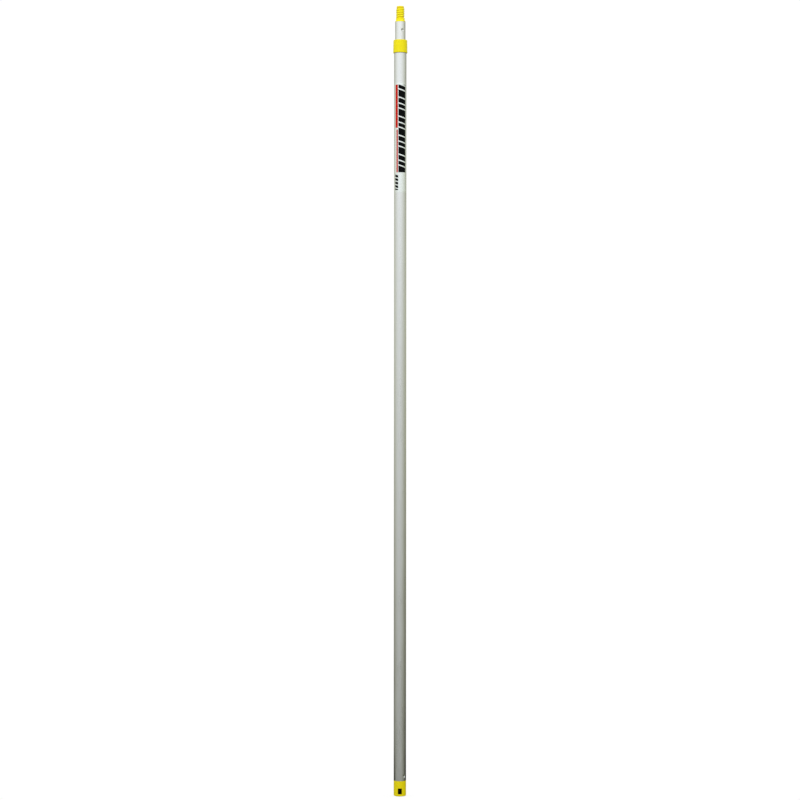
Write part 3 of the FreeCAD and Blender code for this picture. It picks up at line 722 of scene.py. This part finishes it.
    # rib across the hollow, rounded at its front and top edges, rooted in the floor and the back wall
    half, y0, y1, zb, zt = 0.8, -4.5, 10.6, 3.0, 23.0
    prof = rounded([(-half, y0, 0.35), (half, y0, 0.35), (half, y1), (-half, y1)], seg=4)
    prof = dense(prof, 2.2)
    levels = [(zb, 0.0), (8.0, 0.0), (13.0, 0.0), (18.0, 0.0), (zt - 0.35, 0.0)]
    levels += [(zt - 0.35 + 0.35 * math.sin(math.radians(a)), 0.35 * (1 - math.cos(math.radians(a)))) for a in (30, 60, 90)]
    stack = []
    web = Skin()
    for z, inset in levels:
        stack.append([
            web.add(max(-half + inset, min(half - inset, x)), max(y0 + inset, y) if y < 0 else y, z) for x, y in prof
        ])
    for a, b in zip(stack, stack[1:]):
        web.band(a, b)
    web.f.append(stack[0][::-1])
    web.f.append(stack[-1])
    return united(sk.build("butt_cap_moulded", 38), web.build("butt_cap_web", 38), 38)


butt_cap = build_cap()


# ---------------------------------------------------------------- threaded tip
def build_tip():
    N, NP = 192, 36
    pitch, major, minor, neck = 5.08, 9.525, 8.3, 10.1
    low, rise = 1802.3, 22.8
    z_b = 1799.35
    turns_rows = 159
    dz = pitch / NP
    z_t = z_b + pitch + turns_rows * dz
    sk = Skin()

    def core(z):
        return neck - (neck - minor) * smooth((z - 1801.2) / 1.25)

    def skin(theta, z):
        """Radius of the screwed end at an angle (turns from +X) and height."""
        base = core(z)
        s = (z - low) / pitch - theta
        k = np.round(s)
        along = (k + theta) * pitch           # how far up the ridge this crossing is
        d = np.abs(z - (low + along))
        lead = smooth((rise + 1.3 - along) / 4.2) * smooth((along + 0.2) / 1.4)
        ridge = minor + (major - minor) * lead * smooth((2.08 - d) / 0.78)
        return np.maximum(base, ridge)

    cols = []
    for i in range(N):
        col = {}
        th = i / N
        for e in range(-NP, turns_rows + NP + 1):
            if i == 0 and e < 0:
                continue
            if e <= 0:
                z = z_b + pitch * th * (e + NP) / NP
            elif e <= turns_rows:
                z = z_b + pitch * th + e * dz
            else:
                z0 = z_b + pitch * th + turns_rows * dz
                z = z0 + (z_t - z0) * (e - turns_rows) / NP
            r = float(skin(th, z))
            a = TAU * th
            col[e] = sk.add(r * math.cos(a), r * math.sin(a), z)
        if i == 0:
            for e in range(-NP, 0):
                col[e] = col[0]
        cols.append(col)

    def vid(i, e):
        if i < N:
            return cols[i][e]
        return cols[0][min(e + NP, turns_rows + NP)]

    for i in range(N):
        for e in range(-NP, turns_rows + NP):
            face = []
            for q in (vid(i, e), vid(i + 1, e), vid(i + 1, e + 1), vid(i, e + 1)):
                if q not in face:
                    face.append(q)
            if len(face) >= 3:
                sk.f.append(face)
    ring_b = [vid(i, -NP) for i in range(N)]
    ring_t = [vid(i, turns_rows + NP) for i in range(N)]

    top = rounded([(minor, z_t), (minor, Z_TIP, 1.15, 8), (0.0, Z_TIP)], closed=False)
    top = dense(top, 2.0, closed=False)
    seq = [ring_t] + [sk.ring(r, z, N) for r, z in top[1:]]
    for a, b in zip(seq, seq[1:]):
        sk.band(a, b)

    plug = R_IN_BORE - 0.045
    gr = R_IN_BORE - DENT_D - 0.12
    gz = Z_INNER_1 - 20.3
    bottom = rounded([
        (neck, z_b), (neck, 1796.8, 0.6), (R_IN, Z_INNER_1 + 0.7, 0.5), (R_IN, Z_INNER_1, 0.22),
        (plug, Z_INNER_1, 0.1), (plug, gz + 4.6, 0.2), (gr, gz + 4.6, 0.3), (gr, gz - 4.6, 0.3), (plug, gz - 4.6, 0.2),
        (plug, Z_TIP_0, 1.2), (5.4, Z_TIP_0, 0.3), (5.4, Z_TIP - 6.5, 1.5), (0.0, Z_TIP - 6.5),
    ], closed=False)
    bottom = dense(bottom, 2.0, closed=False)
    seq = [ring_b] + [sk.ring(r, z, N) for r, z in bottom[1:]]
    for a, b in zip(seq, seq[1:]):
        sk.band(b, a)
    return sk.build("threaded_tip_moulded", 50)


tip = build_tip()


# ---------------------------------------------------------------- printed film
def build_film():
    r0, r1 = R_OUT + 0.02, R_OUT + 0.17
    half = math.radians(77.5)
    z0, z1 = film_lo.z + 0.5, film_hi.z - 0.5
    rc = 5.0
    width = half * r1
    nu, nz = 96, 84
    sk = Skin()
    # rounded corners: a row's half width shrinks near the ends
    zs = []
    for k in range(11):
        a = math.radians(9 * k)
        zs.append(z0 + rc * (1 - math.cos(a)))
    zs += [z0 + rc + (z1 - z0 - 2 * rc) * k / nz for k in range(1, nz)]
    for k in range(10, -1, -1):
        a = math.radians(9 * k)
        zs.append(z1 - rc * (1 - math.cos(a)))
    grid = {}
    for s, r in ((0, r0), (1, r1)):
        for j, z in enumerate(zs):
            d = min(z - z0, z1 - z)
            w = width
            if d < rc:
                w = width - rc + math.sqrt(max(0.0, rc * rc - (rc - d) ** 2))
            for i in range(nu + 1):
                th = math.radians(FRONT) + (w / r1) * (2 * i / nu - 1)
                grid[s, i, j] = sk.add(r * math.cos(th), r * math.sin(th), z)
    last = len(zs) - 1
    for j in range(last):
        for i in range(nu):
            sk.f.append([grid[1, i, j], grid[1, i + 1, j], grid[1, i + 1, j + 1], grid[1, i, j + 1]])
            sk.f.append([grid[0, i, j], grid[0, i, j + 1], grid[0, i + 1, j + 1], grid[0, i + 1, j]])
        for i in (0, nu):
            sk.f.append([grid[0, i, j], grid[1, i, j], grid[1, i, j + 1], grid[0, i, j + 1]])
    for j in (0, last):
        for i in range(nu):
            sk.f.append([grid[0, i, j], grid[0, i + 1, j], grid[1, i + 1, j], grid[1, i, j]])
    return sk.build("label_film_printed", 50)


film = build_film()


# ---------------------------------------------------------------- materials
# the outer tube's finish, with painted contact shadows under the collar and above the cap and painted shade low down
m, p, *_ = aluminium("satin_aluminium_outer", contact_shade=((Z_COLLAR * MM - 0.0019, Z_COLLAR * MM, 0.75), (Z_CAP * MM + 0.0009, Z_CAP * MM, 0.35)), low_outline_shade=(0.045, 0.13))
alu_outer = m.surface(p)
m, p, *_ = aluminium("satin_aluminium_inner", tint=(222, 221, 217), rough=0.28, rub=((1.745, 1.752),))
alu_inner = m.surface(p)

# one yellow plastic in three tones: the collar's as it is, the tip's a painted lit copy (brighter, high up) and the
# cap's a painted shaded copy (darker, low down)
YELLOW, YELLOW_DARK = srgb(246, 230, 0), srgb(240, 219, 0)
YELLOW_TIP_LIT, YELLOW_TIP_LIT_DARK = srgb(253, 238, 4), srgb(249, 228, 0)
YELLOW_LOW_SHADED, YELLOW_LOW_SHADED_DARK = srgb(236, 217, 0), srgb(230, 206, 0)
m, p = plastic("yellow_collar", YELLOW, YELLOW_DARK, 0.36, 1500.0, parting=0.5)
mat_collar = m.surface(p)
m, p = plastic("yellow_cap", YELLOW_LOW_SHADED, YELLOW_LOW_SHADED_DARK, 0.38, 1500.0, parting=0.5, hollow=True)
mat_cap = m.surface(p)
m, p = plastic("yellow_tip", YELLOW_TIP_LIT, YELLOW_TIP_LIT_DARK, 0.34, 1700.0, parting=0.5, thread_shading=True)
mat_tip = m.surface(p)
m, p = plastic("natural_nylon", srgb(236, 232, 218), srgb(222, 216, 198), 0.42, 1300.0, sss=0.25)
mat_nylon = m.surface(p)
m, p = plastic("grey_plastic", srgb(74, 76, 79), srgb(56, 58, 61), 0.42, 1300.0, sss=0.0)
mat_grey = m.surface(p)
mat_steel = steel("plated_steel")


def printed_film():
    """The tube's own satin seen through clear film, with plain slanted bars and a straight red rule printed on it."""
    m, p, base, r, n = aluminium("printed_film", tint=(222, 225, 221), rough=0.26)
    c = m.coord
    x, y, z = m.split(c)
    u = m.mul(m.math("ARCTAN2", x, m.mul(y, -1.0)), R_OUT)      # mm round the front, + to the right
    h = m.mul(m.sub(z, film_lo.z * MM), 1000.0)                  # mm up the film
    edge = 0.12

    def step(v, at, width=edge):
        return m.remap(v, at - width, at + width)

    def between(v, a, b, width=edge):
        return m.mul(step(v, a, width), m.sub(1.0, step(v, b, width)))

    # slanted blocks on the right, in a plain long, short, short rhythm
    slant = m.add(h, m.mul(u, 0.32))
    cell = m.math("FRACT", m.div(slant, 44.0))
    blocks = between(cell, 0.03, 0.40, 0.005)
    blocks = m.math("MAXIMUM", blocks, between(cell, 0.46, 0.66, 0.005))
    blocks = m.math("MAXIMUM", blocks, between(cell, 0.72, 0.97, 0.005))
    blocks = m.mul(blocks, between(u, -4.3, 13.4))
    blocks = m.mul(blocks, between(h, 47.0, 250.0))
    # short row of small blocks at the lower left
    cell2 = m.math("FRACT", m.div(m.add(h, m.mul(u, 0.32)), 8.0))
    small = m.mul(between(cell2, 0.10, 0.80, 0.02), between(u, -13.2, -4.6))
    small = m.mul(small, between(h, 6.0, 43.0))
    black = m.math("MAXIMUM", blocks, small)
    # straight red rule on the left
    red = m.mul(between(u, -12.2, -5.6), between(h, 150.0, 250.0))
    red = m.math("MAXIMUM", red, m.mul(between(u, -9.2, -5.6), between(h, 47.0, 146.0)))
    halo = m.mul(m.mul(between(u, -14.0, 14.2, 0.3), between(h, 4.0, 252.0, 0.3)), 0.35)
    ink_noise = m.noise(m.scaled(c, 1400, 1400, 1400), 1.0, 3.0, 0.6)
    ink = m.remap(ink_noise, 0.2, 0.45, 0.94, 1.0)
    col = m.mix(halo, base, srgb(232, 236, 234))
    col = m.mix(m.mul(red, ink), col, srgb(196, 24, 4))
    col = m.mix(m.mul(black, ink), col, srgb(1, 2, 3))
    printed = m.math("MAXIMUM", black, red)
    m.put(p.inputs["Base Color"], col)
    m.put(p.inputs["Metallic"], m.sub(1.0, m.math("MAXIMUM", printed, m.mul(halo, 0.5))))
    m.put(p.inputs["Roughness"], m.mul(m.add(r, m.mul(printed, 0.05)), 1.0))
    m.put(p.inputs["Normal"], m.bump(printed, 0.3, 0.00002, n))
    m.put(p.inputs["Specular IOR Level"], m.sub(0.5, m.mul(printed, 0.46)))
    m.put(p.inputs["Coat Weight"], m.mul(m.sub(1.0, printed), 0.15))
    p.inputs["Coat Roughness"].default_value = 0.15
    return m.surface(p)


mat_film = printed_film()

finish_piece(outer_tube, alu_outer, "outer", ["outer_tube"])
finish_piece(inner_tube, alu_inner, "inner_pole", ["inner_tube"])
finish_piece(collar, mat_collar, "outer", ["collar"])
finish_piece(butt_cap, mat_cap, "outer", ["butt_cap"])
finish_piece(tip, mat_tip, "inner_pole", ["threaded_tip"])
finish_piece(film, mat_film, "outer", ["label_film"])

for node, mat, slot_name in (
    ("upper_guide_sleeve", mat_nylon, "natural_nylon"), ("lower_guide_sleeve", mat_nylon, "natural_nylon"),
    ("cam_ring", mat_nylon, "natural_nylon"), ("cam_plug", mat_grey, "grey_plastic"),
    ("cam_washer", mat_steel, "plated_steel"), ("cam_screw", mat_steel, "plated_steel"),
):
    o = frame["nodes"][node]
    o.data.materials.clear()
    o.data.materials.append(mat)

# ---------------------------------------------------------------- stage: floor, light, camera
scene = bpy.context.scene
scene.view_settings.view_transform = "Standard"
scene.view_settings.look = "None"
scene.view_settings.exposure = 0.0
scene.view_settings.gamma = 1.0


def build_floor():
    mesh = bpy.data.meshes.new("floor")
    bm = bmesh.new()
    n = 96
    rings = []
    for r in (0.0, 0.05, 0.2, 0.8, 3.0, 9.0, 30.0):
        if r == 0.0:
            rings.append([bm.verts.new((0, 0, -0.0002))])
        else:
            rings.append([bm.verts.new((r * math.cos(TAU * i / n), r * math.sin(TAU * i / n), -0.0002)) for i in range(n)])
    for a, b in zip(rings, rings[1:]):
        for i in range(n):
            j = (i + 1) % n
            bm.faces.new((a[0], b[i], b[j]) if len(a) == 1 else (a[i], b[i], b[j], a[j]))
    bmesh.ops.recalc_face_normals(bm, faces=bm.faces)
    bm.normal_update()
    if bm.faces[:][0].normal.z < 0:
        bmesh.ops.reverse_faces(bm, faces=bm.faces)
    bm.to_mesh(mesh)
    bm.free()
    obj = bpy.data.objects.new("floor", mesh)
    bpy.context.scene.collection.objects.link(obj)
    m = Nodes("floor_paper")
    fibre = m.noise(m.scaled(m.coord, 40, 40, 40), 1.0, 4.0, 0.6)
    ao = m.t.nodes.new("ShaderNodeAmbientOcclusion")
    ao.inputs["Distance"].default_value = 0.05
    ao.samples = 8
    shade = m.remap(ao.outputs["AO"], 0.35, 1.0, 0.93, 1.0)
    level = m.mul(shade, m.remap(fibre, 0.0, 1.0, 1.0, 1.02))
    em = m.t.nodes.new("ShaderNodeEmission")
    em.inputs["Color"].default_value = (1.0, 1.0, 1.0, 1.0)
    m.put(em.inputs["Strength"], level)
    back = m.t.nodes.new("ShaderNodeBsdfTransparent")
    geo = m.t.nodes.new("ShaderNodeNewGeometry")
    mixer = m.t.nodes.new("ShaderNodeMixShader")
    m.link(geo.outputs["Backfacing"], mixer.inputs[0])
    m.link(em.outputs[0], mixer.inputs[1])
    m.link(back.outputs[0], mixer.inputs[2])
    m.link(mixer.outputs[0], m.out.inputs["Surface"])
    obj.data.materials.append(m.mat)
    obj.visible_diffuse = False
    obj.visible_glossy = False
    obj.visible_transmission = False
    obj.visible_shadow = False
    obj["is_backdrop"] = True
    return obj


build_floor()


def build_world():
    """A white cyclorama to the camera; to the object, a room that is bright high and in front, dark low and at the sides."""
    w = bpy.data.worlds.new("studio")
    scene.world = w
    w.use_nodes = True
    t = w.node_tree
    t.nodes.clear()
    m = Nodes.__new__(Nodes)
    m.t = t
    out = t.nodes.new("ShaderNodeOutputWorld")
    d = t.nodes.new("ShaderNodeTexCoord").outputs["Generated"]
    x, y, z = m.split(d)
    flat = m.math("SQRT", m.add(m.mul(x, x), m.mul(y, y)))
    flat = m.math("MAXIMUM", flat, 0.001)
    # the brightest side of the room, swung a little further left low down
    az0 = m.add(m.remap(z, -0.02, 0.08, math.radians(-24.0), math.radians(-13.0)),
                m.remap(z, -0.19, -0.13, math.radians(-7.0), 0.0))
    # cosine of the angle between the direction and that side
    front = m.div(m.sub(m.mul(x, m.math("SINE", az0)), m.mul(y, m.math("COSINE", az0))), flat)
    lobe = m.mul(m.add(front, 1.0), 0.5)
    steep = m.remap(lobe, 0.16, 0.94, 0.0, 1.0, "SMOOTHSTEP")
    low = m.remap(z, -0.165, -0.11, 1.0, 0.0)
    fall = m.add(lobe, m.mul(low, m.sub(steep, lobe)))
    # how bright the sides and back are against the front: darkest low down, softest at eye level
    sides = m.add(m.remap(z, -0.175, -0.10, 0.0, 0.40), m.remap(z, -0.06, 0.0, 0.0, 0.27))
    sides = m.add(sides, m.remap(z, 0.0, 0.06, 0.0, -0.09))
    sides = m.add(sides, m.remap(z, 0.06, 0.17, 0.0, -0.45))
    sides = m.add(sides, m.remap(z, 0.22, 0.45, 0.0, 0.45))
    sides = m.add(sides, m.remap(z, -0.25, -0.42, 0.0, 0.50))
    ring = m.add(sides, m.mul(m.sub(1.0, sides), fall))
    up = m.add(m.remap(z, -0.24, 0.0, 0.08, 0.84), m.remap(z, 0.0, 0.22, 0.0, 0.76))
    up = m.add(m.mul(up, m.remap(z, 0.30, 0.50, 1.0, 0.62)), m.remap(z, -0.27, -0.44, 0.0, 0.40))
    up = m.add(up, m.sub(m.remap(z, 0.02, 0.06, 0.0, 0.05), m.remap(z, 0.10, 0.14, 0.0, 0.05)))
    level = m.mul(ring, up)
    high = m.remap(z, -0.18, 0.16, 0.0, 1.0)
    blue = m.add(m.add(0.60, m.mul(lobe, 0.30)), m.mul(high, m.sub(0.22, m.mul(lobe, 0.07))))
    tone = t.nodes.new("ShaderNodeCombineColor")
    m.put(tone.inputs[0], m.sub(0.972, m.mul(high, 0.018)))
    m.put(tone.inputs[1], 1.0)
    m.put(tone.inputs[2], blue)
    col = tone.outputs[0]
    bg = t.nodes.new("ShaderNodeBackground")
    m.put(bg.inputs["Color"], col)
    m.put(bg.inputs["Strength"], m.mul(level, 1.0))
    white = t.nodes.new("ShaderNodeBackground")
    white.inputs["Color"].default_value = (1, 1, 1, 1)
    white.inputs["Strength"].default_value = 1.02
    path = t.nodes.new("ShaderNodeLightPath")
    mixer = t.nodes.new("ShaderNodeMixShader")
    t.links.new(path.outputs["Is Camera Ray"], mixer.inputs[0])
    t.links.new(bg.outputs[0], mixer.inputs[1])
    t.links.new(white.outputs[0], mixer.inputs[2])
    t.links.new(mixer.outputs[0], out.inputs["Surface"])


build_world()


def area(name, loc, target, size, power, colour=(1, 1, 1)):
    data = bpy.data.lights.new(name, "AREA")
    data.shape = "RECTANGLE"
    data.size, data.size_y = size
    data.energy = power
    data.color = colour
    obj = bpy.data.objects.new(name, data)
    obj.location = loc
    obj.rotation_mode = "QUATERNION"
    obj.rotation_quaternion = (Vector(target) - Vector(loc)).to_track_quat("-Z", "Y")
    bpy.context.scene.collection.objects.link(obj)
    return obj


key = area("key_softbox", (-1.3, -1.7, 2.5), (0, 0, 1.4), (1.4, 1.0), 12.0)
fill = area("fill_softbox", (1.8, -1.9, 1.9), (0, 0, 1.2), (1.2, 1.2), 11.0)
for lamp in (key, fill):
    lamp.visible_glossy = False

lo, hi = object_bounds()
height = hi.z - lo.z
cam_data = bpy.data.cameras.new("camera")
cam_data.sensor_width = 36.0
cam_data.lens = 95.13
cam_data.clip_start, cam_data.clip_end = 0.05, 100.0
cam = bpy.data.objects.new("camera", cam_data)
cam.location = (-0.0002, -4.9, height * 0.5 + 0.0022)
cam.matrix_world = Matrix.Translation(cam.location) @ Matrix.Rotation(math.radians(90.0), 4, "X") @ Matrix.Rotation(math.radians(0.035), 4, "Z")
scene.collection.objects.link(cam)
scene.camera = cam
